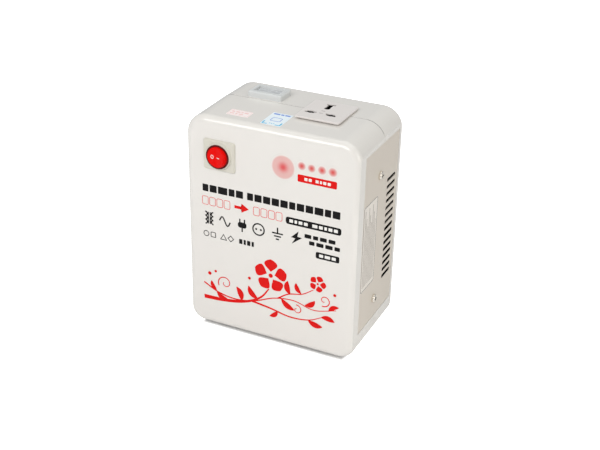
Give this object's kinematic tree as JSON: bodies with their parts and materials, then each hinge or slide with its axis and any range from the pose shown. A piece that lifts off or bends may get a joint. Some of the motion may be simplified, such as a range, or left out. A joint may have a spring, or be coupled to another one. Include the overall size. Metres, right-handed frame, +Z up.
{
  "type": "voltage transformer",
  "caption": "Portable step-down voltage transformer in a rounded case with a rocker switch in front, and a universal socket and voltmeter on top.",
  "frame": {"origin": "middle of the case, on the surface that its feet stand on", "axes": "+Z up, +Y from the switch's face to the rear, +X towards the panel on the right of the switch's face"},
  "size_m": [0.1886, 0.1302, 0.244],
  "materials": {
    "cover_plastic": "glossy moulded pearl white",
    "panel_paint": "smooth satin paint",
    "screw_nickel": "nickel plated",
    "frame_steel": "zinc plated sheet",
    "foot_rubber": "matt",
    "core_steel": "wound silicon steel strip",
    "copper": "enamelled copper wire",
    "tape": "polyester tape",
    "board_laminate": "green laminate",
    "relay_case": "blue case",
    "black_plastic": "moulded",
    "terminal_green": "moulded",
    "terminal_white": "moulded",
    "socket_plastic": "satin moulded",
    "contact_brass": "bright strip",
    "meter_plastic": "moulded pale grey",
    "meter_window": "smoked acrylic",
    "digits": "segment display",
    "bezel_plastic": "cream moulded",
    "rocker_red": "translucent red",
    "lamp_glass": "clear",
    "gland_plastic": "nylon",
    "label_film": "satin film",
    "lead_insulation": "PVC"
  },
  "bodies": {
    "case": {"front_cover": "cover_plastic", "rear_cover": "cover_plastic", "right_side_panel": "panel_paint", "left_side_panel": "panel_paint", "side_panel_screws": "screw_nickel", "cover_screws": "screw_nickel", "base_plate": "frame_steel", "base_screws": "screw_nickel", "base_nuts": "screw_nickel", "upright_frame": "frame_steel", "frame_screws": "screw_nickel", "rubber_feet": "foot_rubber", "toroid_core": "core_steel", "toroid_winding": "copper", "toroid_tape": "tape", "front_rubber_pad": "foot_rubber", "rear_rubber_pad": "foot_rubber", "dished_washer": "frame_steel", "spring_washer": "frame_steel", "toroid_nut": "screw_nickel", "toroid_bolt": "screw_nickel", "thermal_cutout": "black_plastic", "control_board": "board_laminate", "board_standoffs": "contact_brass", "board_screws": "screw_nickel", "relay": "relay_case", "smoothing_capacitor": "black_plastic", "control_chip": "black_plastic", "board_terminals": "terminal_green", "mains_terminal_block": "terminal_white", "terminal_clamp_screws": "contact_brass", "socket_faceplate": "socket_plastic", "socket_body": "black_plastic", "line_contact": "contact_brass", "neutral_contact": "contact_brass", "earth_contact": "contact_brass", "meter_bezel": "meter_plastic", "meter_window": "meter_window", "digit_display": "digits", "meter_board": "board_laminate", "switch_bezel": "bezel_plastic", "switch_body": "black_plastic", "switch_nut": "black_plastic", "switch_terminals": "contact_brass", "neon_lamp": "lamp_glass", "cord_gland": "gland_plastic", "gland_locknut": "gland_plastic", "long_sticker": "label_film", "square_sticker": "label_film", "rating_label": "label_film", "switch_leads": "lead_insulation", "socket_leads": "lead_insulation", "winding_leads": "lead_insulation"},
    "rocker": {"rocker": "rocker_red", "rocker_plunger": "black_plastic", "plunger_spring": "screw_nickel"},
    "seesaw": {"seesaw_contact": "contact_brass"}
  },
  "joints": [
    {"name": "rocker_hinge", "type": "hinge", "parent": "case", "child": "rocker", "pos_m": [-0.0544, -0.0597, 0.1986], "axis": [0, 0, 1], "range_deg": [0, 22]},
    {"name": "seesaw_hinge", "type": "hinge", "parent": "case", "child": "seesaw", "pos_m": [-0.0544, -0.0493, 0.1986], "axis": [0, 0, 1], "range_deg": [-16, 0]}
  ],
  "couplings": [
    {"joint": "seesaw_hinge", "follows": "rocker_hinge", "ratio": -0.72727}
  ]
}
